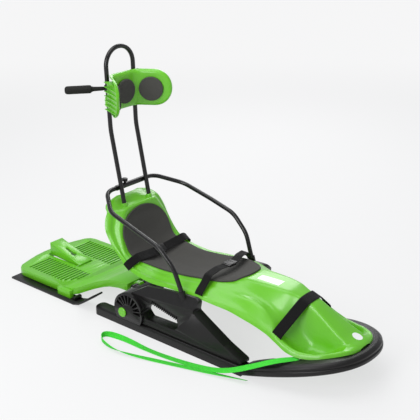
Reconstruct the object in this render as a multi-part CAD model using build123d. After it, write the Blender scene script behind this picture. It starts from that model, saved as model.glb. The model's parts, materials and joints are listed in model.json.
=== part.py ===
from build123d import *
import os
from math import atan2, cos, degrees, hypot, pi, radians, sin

# A snow sled with a seat, towed or pushed: a moulded seat shell on two runners,
# a push hoop with handles and headrest, and a hinged platform behind on two skis.
# Millimetres. +Z is up, the floor is z = 0, the nose points to -Y.
# X = 0 is the middle plane. The rider's right side is at -X.

os.makedirs("parts", exist_ok=True)

# Clearances
seat_gap = 0.3
pin_gap = 0.05
joint_gap = 6.0

# Overall
runner_outer = 280.0
runner_width = 63.0
runner_height = 40.0
runner_rear = 345.0
runner_front = -505.0
nose_front = -950.0

# Seat shell
shell_wall = 5.0
pad_thickness = 7.0

# Tubes
tube = 20.0
hoop_x = 80.0
hoop_foot = (80.0, 318.0, 440.0)
hoop_bend = (80.0, 396.0, 814.0)
hoop_top = (83.0, 410.0, 1171.0)
socket_wall = 5.0
socket_depth = 44.0
rail_line = [(236, -167, 216), (245, -118, 350), (250, -40, 426), (248, 90, 464), (240, 250, 507)]
cross_z = 548.0
sleeve = 25.0
sleeve_half = 90.0

# Trailer platform
hinge_y = 222.0
hinge_z = 116.0
hinge_pin = 12.0
knuckle = 28.0
platform_half = 243.0
platform_rear = 918.0
platform_bulge = 44.0
deck_z = 46.0
platform_wall = 5.0
skirt_wall = 6.0
skirt_depth = 34.0
ski_outer = 286.0
ski_rear = 918.0
ski_plate = 9.0

# Brake pedal
pedal_half = 40.0
pedal_hinge_y = 705.0
pedal_hinge_z = 42.0
pedal_rear = 905.0


def save(shape, name):
    shape.label = name
    export_step(shape, f"parts/{name}.step")


def both(make, name):
    for side, word in ((-1, "right"), (1, "left")):
        save(make(side), f"{name}_{word}")


def offset_line(points, distance):
    """Moves an open line of (x, h) points along its mitred normals."""
    moved = []
    last = len(points) - 1
    for i, (x, h) in enumerate(points):
        normals = []
        for a, b in ((i - 1, i), (i, i + 1)):
            if a < 0 or b > last:
                continue
            dx, dh = points[b][0] - points[a][0], points[b][1] - points[a][1]
            length = hypot(dx, dh)
            normals.append((-dh / length, dx / length))
        nx = sum(n[0] for n in normals) / len(normals)
        nh = sum(n[1] for n in normals) / len(normals)
        scale = distance / (nx * nx + nh * nh)
        moved.append((x + nx * scale, h + nh * scale))
    return moved


def station_plane(y, z, tilt):
    """Across the sled: upright at tilt 0, lying on its back at tilt 90."""
    turn = radians(tilt)
    return Plane(origin=(0, y, z), x_dir=(1, 0, 0), z_dir=(0, -cos(turn), -sin(turn)))


def band_face(plane, line, low, high):
    outline = offset_line(line, high) + offset_line(line, low)[::-1]
    return plane * make_face(Polyline(*outline, close=True))


def mirrored(half):
    return [(-x, h) for x, h in half[:0:-1]] + list(half)


def tube_along(points, radii, diameter):
    path = FilletPolyline(*points, radius=radii)
    return sweep(Plane(origin=path @ 0, z_dir=path % 0) * Circle(diameter / 2), path=path)


def side_plate(points, inner, outer, radii=0):
    """A plate cut to (y, z) points, standing between two distances from the middle."""
    outline = Polyline(*points, close=True) if not radii else FilletPolyline(
        *points, radius=radii, close=True)
    face = Plane(origin=(inner, 0, 0), x_dir=(0, 1, 0), z_dir=(1, 0, 0)) * make_face(outline)
    return extrude(face, outer - inner)


def on_side(shape, side):
    return shape if side > 0 else mirror(shape, Plane.YZ)


# Seat shell: one section per row, from the nose over the seat to the top of the back.
# y, z, tilt of the section; height in the middle; then distance out and height of the
# shoulder, the low line, the pad's edge, the inner crest, the groove, the outer crest
# and the skirt's edge.
stations = [
    (-888, 0, 0, 178, (14, 178), (26, 177), (36, 176), (45, 175), (52, 174), (60, 171), (66, 160)),
    (-868, 0, 0, 184, (40, 182), (52, 176), (64, 173), (78, 171), (86, 171), (93, 169), (100, 155)),
    (-840, 0, 0, 194, (56, 191), (67, 164), (90, 151), (107, 162), (115, 163), (122, 160), (129, 146)),
    (-805, 0, 0, 213, (54, 208), (73, 130), (112, 123), (129, 152), (137, 154), (143, 151), (149, 136)),
    (-765, 0, 0, 234, (49, 229), (73, 117), (126, 111), (147, 142), (155, 145), (163, 142), (169, 124)),
    (-715, 0, 0, 262, (42, 257), (75, 114), (139, 108), (161, 139), (170, 143), (179, 139), (186, 121)),
    (-665, 0, 0, 287, (37, 284), (80, 139), (140, 126), (169, 152), (180, 156), (190, 151), (197, 133)),
    (-605, 0, 0, 307, (43, 304), (90, 203), (131, 176), (163, 178), (176, 180), (188, 176), (194, 158)),
    (-555, 0, 0, 317, (54, 315), (98, 238), (124, 224), (147, 219), (168, 203), (183, 193), (189, 176)),
    (-490, 0, 0, 320, (60, 318), (102, 260), (120, 258), (136, 260), (163, 228), (182, 209), (188, 192)),
    (-430, 0, 0, 320, (63, 317), (103, 270), (120, 268), (136, 270), (163, 238), (184, 220), (190, 204)),
    (-372, 0, 0, 317, (64, 314), (106, 279), (122, 272), (138, 269), (165, 243), (186, 231), (192, 215)),
    (-300, 0, 0, 298, (68, 298), (109, 291), (131, 277), (147, 270), (173, 248), (196, 239), (202, 224)),
    (-200, 0, 0, 272, (69, 276), (138, 284), (151, 273), (165, 270), (190, 253), (210, 250), (216, 236)),
    (-50, 0, 0, 240, (69, 248), (138, 263), (150, 253), (165, 255), (186, 240), (209, 243), (216, 229)),
    (60, 0, 0, 228, (70, 237), (136, 256), (148, 244), (161, 244), (181, 230), (202, 234), (211, 219)),
    (130, 228, 12, 0, (70, 10), (143, 33), (154, 24), (166, 26), (184, 10), (198, 12), (206, -4)),
    (205, 242, 35, 0, (70, 6), (148, 29), (158, 24), (168, 26), (182, 12), (192, 16), (199, 0)),
    (250, 275, 58, 0, (70, 4), (148, 16), (158, 14), (167, 18), (178, 6), (186, 12), (192, -4)),
    (280, 330, 72, 0, (70, 3), (143, 14), (152, 14), (161, 16), (174, -4), (188, -6), (196, -20)),
    (294, 385, 78, 0, (60, 1), (123, 5), (135, 9), (149, 8), (166, -20), (185, -22), (197, -38)),
    (303, 430, 80, 0, (50, 1), (90, 4), (106, 9), (124, 8), (146, -24), (170, -26), (185, -44)),
    (308, 462, 80, 5, (40, 6), (62, 8), (84, 8), (104, 3), (132, -30), (152, -32), (165, -46)),
    (320, 482, 80, 0, (30, 0), (50, -2), (70, -4), (88, -10), (110, -24), (134, -24), (147, -34)),
    (338, 487, 80, 0, (30, 0), (50, 0), (68, 0), (84, -1), (98, -3), (116, -5), (128, -14)),
    (344, 500, 80, 0, (24, 0), (40, 0), (54, -1), (66, -2), (76, -3), (88, -4), (98, -12)),
    (350, 507, 80, 0, (10, 0), (18, 0), (26, 0), (33, 0), (40, -1), (47, -2), (52, -6)),
]
pad_first, pad_last = 10, 22
pad_half, pad_front, pad_front_reach, pad_shoulder, pad_top_reach = 147.0, -203.0, 169.0, 330.0, 126.0


def station_line(row):
    return mirrored([(0, row[3]), *row[4:]])


def hoop_at(z):
    """Distance back of the hoop's axis at a height below or above its bend."""
    a, b = (hoop_foot, hoop_bend) if z < hoop_bend[2] else (hoop_bend, hoop_top)
    return a[1] + (b[1] - a[1]) * (z - a[2]) / (b[2] - a[2])


def up_cylinder(radius, height):
    return Cylinder(radius, height, align=(Align.CENTER, Align.CENTER, Align.MIN))


def hoop_plane():
    lean = (0, hoop_bend[1] - hoop_foot[1], hoop_bend[2] - hoop_foot[2])
    return Plane(origin=hoop_foot, z_dir=lean)


def hoop_boss():
    return hoop_plane() * Pos(0, 0, -socket_wall) * up_cylinder(
        tube / 2 + socket_wall, socket_depth)


def hoop_bore():
    return hoop_plane() * up_cylinder(tube / 2 + seat_gap, 2 * socket_depth)


def seat_shell():
    faces = []
    for row in stations:
        faces.append(band_face(station_plane(*row[:3]), station_line(row), -shell_wall, 0))
    shell = loft(faces, ruled=True)
    tip = station_plane(*stations[0][:3]) * make_face(
        Polyline(*station_line(stations[0]), close=True))
    shell += extrude(tip, -shell_wall)
    for side in (-1, 1):
        shell += on_side(hoop_boss(), side)
        shell -= on_side(hoop_bore(), side)
    return shell


def seat_pad():
    faces = []
    for row in stations[pad_first:pad_last + 1]:
        line = mirrored([(0, row[3]), row[4], row[5]])
        plane = station_plane(*row[:3])
        faces.append(band_face(plane, line, seat_gap + 0.2, seat_gap + pad_thickness))
    block = loft(faces, ruled=True)
    front = Pos(0, pad_front, 200) * extrude(Ellipse(pad_half, pad_front_reach), 200)
    front += Pos(0, pad_front + 403, 300) * Box(400, 806, 500)
    top = Pos(0, 500, pad_shoulder) * Rot(90, 0, 0) * extrude(Ellipse(pad_half, pad_top_reach), 1000)
    top += Pos(0, 0, pad_shoulder - 200) * Box(400, 1000, 400)
    return block & front & top


# Runners and nose bumper
bumper_steps = 20
bumper_rise = 112.0
bumper_top = 160.0
nose_power = 2.35


def runner(side):
    width = runner_width
    length = runner_rear - runner_front
    body = Pos(runner_outer - width / 2, (runner_rear + runner_front) / 2, runner_height / 2) * Box(
        width, length, runner_height)
    rear = body.edges().filter_by(Axis.Z).group_by(Axis.Y)[-1]
    body = fillet(rear, 26)
    body = fillet(body.edges().group_by(Axis.Z)[-1].filter_by(Axis.Y), 10)
    return on_side(body, side)


def bumper_section(turn):
    """Upright section of the bumper at a turn from one side (0) over the nose to the other."""
    half_x = runner_outer - runner_width / 2
    length = runner_front - nose_front - runner_width / 2
    along, across = sin(turn) ** (2 / nose_power), abs(cos(turn)) ** (2 / nose_power)
    sign = 1 if cos(turn) >= 0 else -1
    at = (sign * half_x * across, runner_front - length * along, 0)
    out = (sign * across ** (nose_power - 1) / half_x, -along ** (nose_power - 1) / length, 0)
    low = bumper_rise * (1 - (1 - along) ** 1.15)
    top = runner_height + (bumper_top - runner_height) * along ** 0.75
    half, deep = runner_width / 2 - 2.5 * along, top - low
    soft, step = 1 - 0.4 * along, 4 * along
    points = [
        (-half + 8, low), (half - 14 - 8 * along, low), (half - 5 * along, low + 6), (half, low + 18 * soft),
        (half, low + 0.50 * deep), (half - step - 1, low + 0.56 * deep), (half - step, low + 0.62 * deep),
        (half - step, top - 15 * soft), (half - 16, top), (-half + 10 + 6 * along, top),
        (-half, top - 10 - 6 * along), (-half, low + 8)]
    plane = Plane(origin=at, x_dir=out, z_dir=(out[1], -out[0], 0))
    return plane * make_face(Polyline(*points, close=True))


def nose_bumper():
    turns = [pi * i / bumper_steps for i in range(bumper_steps + 1)]
    return loft([bumper_section(turn) for turn in turns], ruled=True)


# Struts: outline of the side frame as (y, z), then the hand opening in it
shell_half = 216.0
strut_inner, strut_outer = shell_half + seat_gap, 270.0
strut_outline = [
    (198, 40), (208, 80), (194, 111), (142, 154), (105, 179), (50, 212), (-50, 226), (-140, 237),
    (-225, 242), (-250, 236), (-243, 193), (-303, 158), (-410, 98), (-488, 64), (-500, 58), (-500, 40)]
hand_opening = [(-6, 159), (34, 132), (46, 100), (22, 74), (-143, 80), (-160, 100), (-155, 128)]
shoulder = 14.0
grip_teeth = 15
tooth_band = 20.0
hub_y, hub_z, hub_radius, hub_outer = 120.0, 88.0, 84.0, strut_outer + 15.0
hub_pockets, hub_first, hub_last = 9, 24.0, 178.0
hub_core, hub_rim, hub_rib, hub_recess = 32.0, 74.0, 5.0, 15.0
cap_y, cap_z, cap_radius, cap_depth = 154.0, 72.0, 22.0, 6.0


def x_cylinder(radius, x_low, x_high, y, z):
    return Plane(origin=(x_low, y, z), z_dir=(1, 0, 0)) * up_cylinder(radius, x_high - x_low)


def grip_recess():
    """Band of slots along the upper edge of the hand opening."""
    (y1, z1), (y2, z2) = hand_opening[0], hand_opening[-1]
    run = hypot(y2 - y1, z2 - z1)
    along, up = ((y2 - y1) / run, (z2 - z1) / run), (-(z2 - z1) / run, (y2 - y1) / run)
    pitch = run / grip_teeth
    slots = Part()
    for i in range(grip_teeth):
        start, end = pitch * (i + 0.2), pitch * (i + 0.8)
        corners = [(start, -2), (end, -2), (end, tooth_band), (start, tooth_band)]
        points = [(y1 + along[0] * a - up[0] * b, z1 + along[1] * a - up[1] * b) for a, b in corners]
        slots += side_plate(points, strut_outer - 14, strut_outer + 1)
    return slots


def hub_pocket(turn):
    """Recess between two radial ribs of the hub."""
    half = radians(hub_last - hub_first) / (hub_pockets - 1) / 2
    thin = hub_rib / 2
    corners = []
    for radius, sign in ((hub_core, -1), (hub_rim, -1), (hub_rim, 1), (hub_core, 1)):
        angle = turn + sign * (half - thin / radius)
        corners.append((hub_y + radius * cos(angle), hub_z + radius * sin(angle)))
    return side_plate(corners, hub_outer - hub_recess, hub_outer + 1)


def shoulder_cut():
    """What lies above the slope along the strut's upper outer edge."""
    (y1, z1), (y2, z2) = strut_outline[6], strut_outline[8]
    along = Vector(0, y2 - y1, z2 - z1)
    edge = (strut_inner + shoulder, (y1 + y2) / 2, (z1 + z2) / 2)
    slope = Plane(origin=edge, x_dir=along, z_dir=along.cross(Vector(-1, 0, 0.9)))
    if slope.z_dir.Z < 0:
        slope = Plane(origin=edge, x_dir=along, z_dir=-slope.z_dir)
    return slope * Pos(0, 0, 60) * Box(900, 300, 120)


def strut(side):
    body = side_plate(strut_outline, strut_inner, strut_outer, 9)
    hub = x_cylinder(hub_radius, strut_inner, hub_outer, hub_y, hub_z)
    hub &= Pos(250, hub_y, runner_height + 200) * Box(200, 400, 400)
    body += hub
    body -= shoulder_cut()
    body -= side_plate(hand_opening, strut_inner - 1, hub_outer + 1, 9)
    for i in range(hub_pockets):
        body -= hub_pocket(radians(hub_first + (hub_last - hub_first) * i / (hub_pockets - 1)))
    body -= grip_recess()
    seat = Plane(origin=rail_line[0], z_dir=Vector(*rail_line[1]) - Vector(*rail_line[0]))
    body += seat * Pos(0, 0, -10) * up_cylinder(tube / 2 + socket_wall, 48)
    body -= seat * up_cylinder(tube / 2 + seat_gap, 80)
    return on_side(body, side)


def strut_cap(side):
    disc = x_cylinder(cap_radius, hub_outer, hub_outer + cap_depth, cap_y, cap_z)
    disc = chamfer(disc.edges().group_by(Axis.X)[-1], 2)
    return on_side(disc, side)


# Hoop, headrest and handles
headrest_low, headrest_high = 894.0, 1060.0
headrest_front = 380.0
headrest_wall = 5.0
headrest_half = 70.0
wing_tip = (160.0, 247.0)
headrest_back = [(170, 254), (128, 352), (106, 385.5), (66, 385.5), (60, 392)]
rib_pitch, rib_wall, wing_ribs = 22.0, 3.5, 6
headrest_pad, headrest_pad_depth = 110.0, 12.0
headrest_mid = 975.0
headrest_grip_z = 940.0
handle_z = 1000.0
handle_tube = 13.0
handle_tip = (223.0, 515.0)
grip_diameter, grip_length = 31.0, 115.0
clamp_wall = 5.0


def hoop():
    mirror_of = [(-x, y, z) for x, y, z in (hoop_top, hoop_bend, hoop_foot)]
    return tube_along([hoop_foot, hoop_bend, hoop_top, *mirror_of], [300, 80, 80, 300], tube)


def clamp(z, height):
    """Ring round one leg of the hoop."""
    centre = Pos(hoop_leg_x(z), hoop_at(z), z - height / 2)
    return centre * up_cylinder(tube / 2 + clamp_wall, height)


def hoop_leg_x(z):
    share = (z - hoop_bend[2]) / (hoop_top[2] - hoop_bend[2])
    return hoop_bend[0] + (hoop_top[0] - hoop_bend[0]) * share


def hoop_leg_bore():
    way = (hoop_top[0] - hoop_bend[0], hoop_top[1] - hoop_bend[1], hoop_top[2] - hoop_bend[2])
    return Plane(origin=hoop_bend, z_dir=way) * up_cylinder(tube / 2 + seat_gap, 300)


def headrest_shell():
    line = [(-wing_tip[0], wing_tip[1]), (-headrest_half, headrest_front),
            (headrest_half, headrest_front), wing_tip]
    outline = line + headrest_back + [(-x, y) for x, y in headrest_back[::-1]]
    low = Plane(origin=(0, 0, headrest_low))
    body = extrude(low * make_face(Polyline(*outline, close=True)), headrest_high - headrest_low)
    tall = headrest_high - headrest_low
    window = Plane(origin=(0, 0, headrest_low + tall / 2), x_dir=(1, 0, 0), z_dir=(0, 1, 0))
    body &= extrude(window * RectangleRounded(2 * wing_tip[0] + 20, tall, 70), 600)
    for side in (-1, 1):
        for i in range(wing_ribs + 1):
            body -= on_side(wing_pocket(headrest_mid + (i - wing_ribs / 2) * rib_pitch), side)
    web = Pos(hoop_leg_x(headrest_grip_z), hoop_at(headrest_grip_z) - 10, headrest_grip_z)
    for side in (-1, 1):
        body += on_side(clamp(headrest_grip_z, 40) + web * Box(16, 20, 40), side)
        body -= on_side(hoop_leg_bore(), side)
    return body


def wing_pocket(z):
    """Hollow between two ribs at the back of a wing, open to the outside."""
    high = rib_pitch - rib_wall
    reach = max(0, (headrest_high - headrest_low) / 2 - abs(z - headrest_mid) - high / 2)
    tip = 0.9 if reach > 20 else 0.62
    face = [(headrest_half, headrest_front), wing_tip]
    near, far = offset_line(face, headrest_wall)
    far = (near[0] + (far[0] - near[0]) * tip, near[1] + (far[1] - near[1]) * tip)
    points = [(near[0] + 14, near[1] - 12), far, (far[0] + 60, far[1] + 10), (near[0] + 90, near[1] + 4)]
    plane = Plane(origin=(0, 0, z - high / 2))
    return extrude(plane * make_face(Polyline(*points, close=True)), high)


def wing_angle():
    return degrees(atan2(wing_tip[1] - headrest_front, wing_tip[0] - headrest_half))


def headrest_disc(side):
    disc = up_cylinder(headrest_pad / 2, headrest_pad_depth)
    disc = chamfer(disc.edges().group_by(Axis.Z)[-1], 3)
    if side == 0:
        seat = Plane(origin=(0, headrest_front - seat_gap, headrest_mid), z_dir=(0, -1, 0))
        return seat * disc
    turn = radians(wing_angle())
    out = (sin(turn), -cos(turn), 0)
    mid = [low + 0.43 * (high - low) for low, high in zip((headrest_half, headrest_front), wing_tip)]
    at = (mid[0] + out[0] * seat_gap, mid[1] + out[1] * seat_gap, headrest_mid)
    return on_side(Plane(origin=at, z_dir=out) * disc, side)


def handle_ends():
    start = (hoop_leg_x(handle_z), hoop_at(handle_z))
    run = hypot(handle_tip[0] - start[0], handle_tip[1] - start[1])
    way = ((handle_tip[0] - start[0]) / run, (handle_tip[1] - start[1]) / run)
    return start, way, run


def handle(side):
    start, way, run = handle_ends()
    rod = Plane(origin=(*start, handle_z), z_dir=(*way, 0)) * up_cylinder(handle_tube / 2, run)
    body = clamp(handle_z, 26) + rod
    body -= hoop_leg_bore()
    return on_side(body, side)


def grip(side):
    start, way, run = handle_ends()
    seat = Plane(origin=(*start, handle_z), z_dir=(*way, 0))
    foam = seat * Pos(0, 0, run - grip_length + 6) * up_cylinder(grip_diameter / 2, grip_length)
    foam = chamfer(foam.edges(), 4)
    foam -= seat * up_cylinder(handle_tube / 2 + seat_gap, run + seat_gap)
    return on_side(foam, side)


# Side rails
def cross_y():
    lean = atan2(hoop_bend[1] - hoop_foot[1], hoop_bend[2] - hoop_foot[2])
    return hoop_at(cross_z) + (tube / 2 + sleeve / 2) / cos(lean) + seat_gap


def rail(side):
    points = [*rail_line, (150, cross_y(), cross_z), (2, cross_y(), cross_z)]
    return on_side(tube_along(points, [130, 130, 260, 100, 78], tube), side)


def rail_sleeve():
    body = x_cylinder(sleeve / 2, -sleeve_half, sleeve_half, cross_y(), cross_z)
    return body - x_cylinder(tube / 2 + seat_gap, -sleeve_half - 1, sleeve_half + 1, cross_y(), cross_z)


def sleeve_knob():
    stem = Pos(-35, cross_y(), cross_z + sleeve / 2) * up_cylinder(6, 10)
    return stem + Pos(-35, cross_y(), cross_z + sleeve / 2 + 8) * up_cylinder(13, 12)


# Belts: each is a line in a section plane, laid above the shell and the pad
belt_width, foot_belt_width, belt_thick = 40.0, 50.0, 2.0
buckle_half, buckle_depth, buckle_thick = 30.0, 44.0, 12.0
waist_plane = (205.0, 242.0, 35.0)
waist_line = [(205.2, 2), (198.2, 26), (174, 44), (150, 54), (70, 40), (30, 36)]
thigh_plane = (-222.0, 0.0, 0.0)
thigh_line = [(221.5, 242.6), (221.5, 247), (211, 255), (190, 261), (167, 286), (148, 318), (80, 325),
              (30, 319)]
foot_y, foot_lean = -618.0, 18.0
foot_line = [(198, 150), (196.8, 171), (44, 301.4), (0, 303.6)]


def belt(plane, line, width, side):
    face = band_face(station_plane(*plane), line, 0, belt_thick)
    body = extrude(face, width / 2, both=True)
    return on_side(body, side)


def buckle(plane, height):
    seat = station_plane(*plane)
    body = seat * Pos(0, height, 0) * Box(2 * buckle_half - 0.4, buckle_thick, buckle_depth)
    return chamfer(body.edges().filter_by(Axis((0, 0, 0), seat.z_dir)), 4)


def foot_strap():
    line = foot_line + [(-x, h) for x, h in foot_line[-2::-1]]
    face = band_face(station_plane(foot_y, 0, 0), line, -belt_thick, 0)
    way = (0, cos(radians(foot_lean)), sin(radians(foot_lean)))
    return extrude(face, foot_belt_width / 2, dir=way, both=True)


# Rear crossmember with the root's knuckles, and the hinge pin
beam_front, beam_rear, beam_low, beam_high = 150.0, 190.0, 92.0, 134.0
knuckles, knuckle_gap = 9, 3.0
comb_half = 150.0


def knuckle_spans(which):
    pitch = (2 * comb_half + knuckle_gap) / knuckles
    for i in range(which, knuckles, 2):
        start = -comb_half + i * pitch
        yield start, start + pitch - knuckle_gap


def comb(which, web_y):
    body = Part()
    for low, high in knuckle_spans(which):
        body += x_cylinder(knuckle / 2, low, high, hinge_y, hinge_z)
        mid = (web_y + hinge_y) / 2
        body += Pos((low + high) / 2, mid, hinge_z) * Box(high - low, abs(web_y - hinge_y), knuckle - 6)
    return body


def hinge_bore():
    return x_cylinder(hinge_pin / 2 + pin_gap, -comb_half - 9, comb_half + 9, hinge_y, hinge_z)


def crossmember():
    beam = Pos(0, (beam_front + beam_rear) / 2, (beam_low + beam_high) / 2) * Box(
        2 * strut_inner, beam_rear - beam_front, beam_high - beam_low)
    return beam + comb(0, beam_rear) - hinge_bore()


def hinge_rod():
    return x_cylinder(hinge_pin / 2, -comb_half - 5, comb_half + 5, hinge_y, hinge_z)


# Trailer platform
neck_half, neck_front = 160.0, 246.0
slot_frame = 20.0
leg_outer, leg_mid, leg_long = platform_half + 20, 565.0, 84.0
platform_side = [(neck_half, neck_front), (neck_half, 400), (180, 450), (platform_half - 14, 500),
                 (platform_half, 530), (platform_half, platform_rear - 38),
                 (platform_half - 9, platform_rear - 12), (platform_half - 32, platform_rear + 6)]
platform_side += [(platform_half * x, platform_rear + platform_bulge * y)
                  for x, y in ((0.62, 0.52), (0.38, 0.83), (0.14, 0.98))]
platform_outline = platform_side + [(-x, y) for x, y in platform_side[::-1]]
deck_line = [(neck_front, 132), (300, 130), (360, 118), (430, 92), (500, 62), (550, deck_z + 3),
             (600, deck_z), (platform_rear + platform_bulge, deck_z)]
grille_slots, grille_pitch, slot_width = 15, 20.0, 11.0
grille_front, grille_inner, grille_outer = 592.0, 68.0, 206.0
slot_half, slot_front, slot_rear = pedal_half + joint_gap, pedal_hinge_y - 16, pedal_rear + 18


def deck_prism(drop, inset):
    low = [(y, z - 60) for y, z in deck_line]
    points = [(y, z - drop) for y, z in deck_line] + low[::-1]
    body = side_plate(points, -platform_half, platform_half)
    plan = Plane(origin=(0, 0, -100)) * offset(
        make_face(Polyline(*platform_outline, close=True)), -inset)
    return body & extrude(plan, 400)


def platform_tray():
    low = [(y, z - skirt_depth) for y, z in deck_line]
    body = side_plate(deck_line + low[::-1], -platform_half, platform_half)
    plan = Plane(origin=(0, 0, -100)) * make_face(Polyline(*platform_outline, close=True))
    body &= extrude(plan, 400)
    return body - deck_prism(platform_wall, skirt_wall)


def grille():
    slots = Part()
    for i in range(grille_slots):
        y = grille_front + grille_pitch * i
        outer = min(grille_outer, grille_inner + 84 + 1.1 * (y - grille_front))
        for side in (-1, 1):
            mid = side * (grille_inner + outer) / 2
            slots += Pos(mid, y, deck_z) * Box(outer - grille_inner, slot_width, 40)
    return slots


def platform():
    mid, long = (slot_front + slot_rear) / 2, slot_rear - slot_front
    frame_z = deck_z - platform_wall / 2 - slot_frame / 2
    body = platform_tray() - grille()
    body += Pos(0, mid, frame_z) * Box(
        2 * (slot_half + skirt_wall), long + 2 * skirt_wall, slot_frame + platform_wall)
    body -= Pos(0, mid, deck_z) * Box(2 * slot_half, long, 4 * skirt_depth)
    for side in (-1, 1):
        leg = Pos((platform_half + leg_outer) / 2 - 2, leg_mid, (ski_plate + deck_z) / 2) * Box(
            leg_outer - platform_half + 4, leg_long, deck_z - ski_plate)
        body += on_side(leg, side)
    body += comb(1, neck_front + 2)
    body -= hinge_bore()
    body -= x_cylinder(pedal_pin / 2 + pin_gap, -slot_half - 20, slot_half + 20,
                       pedal_hinge_y, pedal_hinge_z)
    return body


# Skis: side line of the plate as (y, z), then the web that carries the platform
ski_line = [(ski_rear, 0), (478, 0), (440, 11), (404, 34), (345, 78)]
ski_inner = platform_half - 25
web_mid, web_width = platform_half - 9, 12.0
web_front, web_rear = 610.0, 850.0


def ski(side):
    top = offset_line(ski_line, -ski_plate)
    body = side_plate(ski_line + top[::-1], ski_inner, ski_outer)
    low = deck_z - skirt_depth
    web = Pos(web_mid, (web_front + web_rear) / 2, (ski_plate + low) / 2) * Box(
        web_width, web_rear - web_front, low - ski_plate)
    return on_side(body + web, side)


block_y, block_high = 495.0, 17.0


def ski_block(side):
    body = Pos(platform_half, block_y, ski_plate + block_high / 2) * Box(44, 18, block_high)
    return on_side(fillet(body.edges().filter_by(Axis.X), 6), side)


# Brake pedal: side outline as (y, z), with a claw plate below its rear end
pedal_pin = 8.0
pedal_line = [(pedal_hinge_y - 8, 50), (pedal_rear, 112), (pedal_rear, 50), (725, 37),
              (pedal_hinge_y, 34), (pedal_hinge_y - 8, 36)]
pedal_hollow = [(735, 20), (735, 50), (pedal_rear - 7, 102), (pedal_rear - 7, 20)]
pedal_wall = 6.0
keyhole_front, keyhole_rear, keyhole_width = 763.0, 835.0, 14.0
claw_y, claw_tip, claw_teeth = 862.0, 44.0, 4


def brake_pedal():
    body = side_plate(pedal_line, -pedal_half, pedal_half)
    body -= side_plate(pedal_hollow, -pedal_half + pedal_wall, pedal_half - pedal_wall)
    mid = (keyhole_front + keyhole_rear) / 2
    body -= Pos(0, mid, 0) * extrude(
        SlotOverall(keyhole_rear - keyhole_front, keyhole_width, 90), 150)
    body -= Pos(0, keyhole_front + 14, 0) * up_cylinder(keyhole_width, 150)
    for i in range(claw_teeth):
        x = (i - (claw_teeth - 1) / 2) * 18
        body += Pos(x, claw_y, (claw_tip + 96) / 2) * Box(5, 16, 96 - claw_tip)
    return body - x_cylinder(pedal_pin / 2 + pin_gap, -pedal_half - 1, pedal_half + 1,
                             pedal_hinge_y, pedal_hinge_z)


def pedal_rod():
    reach = slot_half + skirt_wall + 2
    return x_cylinder(pedal_pin / 2, -reach, reach, pedal_hinge_y, pedal_hinge_z)


# Tow strap: its middle line lies on the floor beside the right runner
strap_width = 25.0
strap_points = [
    (-203, -704, 122.2), (-263, -660, 131.2), (-299, -565, 76), (-318, -440, 14), (-348, -295, 13),
    (-371, -91, 13), (-368, 62, 13), (-392, 158, 13), (-440, 140, 13), (-468, 50, 13),
    (-449, -50, 13), (-405, -179, 13), (-367, -311, 13), (-335, -439, 13), (-305, -556, 15)]


def tow_strap():
    radii = []
    for a, b, c in zip(strap_points, strap_points[1:], strap_points[2:]):
        u, v = Vector(*b) - Vector(*a), Vector(*c) - Vector(*b)
        turn = radians(u.get_angle(v))
        radii.append(0.45 * min(u.length, v.length) / max(0.001, tan_half(turn)))
    return tube_along(strap_points, radii, strap_width)


def tan_half(turn):
    return sin(turn) / (1 + cos(turn))


save(seat_shell(), "seat_shell")
save(seat_pad(), "seat_pad")
save(nose_bumper(), "nose_bumper")
both(runner, "runner")
both(strut, "strut")
both(strut_cap, "strut_cap")
save(hoop(), "hoop")
save(headrest_shell(), "headrest_shell")
save(headrest_disc(0), "headrest_pad_centre")
both(headrest_disc, "headrest_pad")
both(handle, "handle")
both(grip, "grip")
both(rail, "rail")
save(rail_sleeve(), "rail_sleeve")
save(sleeve_knob(), "sleeve_knob")
both(lambda side: belt(waist_plane, waist_line, belt_width, side), "waist_belt")
save(buckle(waist_plane, 37), "waist_buckle")
both(lambda side: belt(thigh_plane, thigh_line, belt_width, side), "thigh_belt")
save(buckle(thigh_plane, 320), "thigh_buckle")
save(foot_strap(), "foot_strap")
save(crossmember(), "crossmember")
save(hinge_rod(), "hinge_pin")
save(platform(), "platform")
both(ski, "ski")
both(ski_block, "ski_block")
save(brake_pedal(), "brake_pedal")
save(pedal_rod(), "pedal_pin")
save(tow_strap(), "tow_strap")
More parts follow.
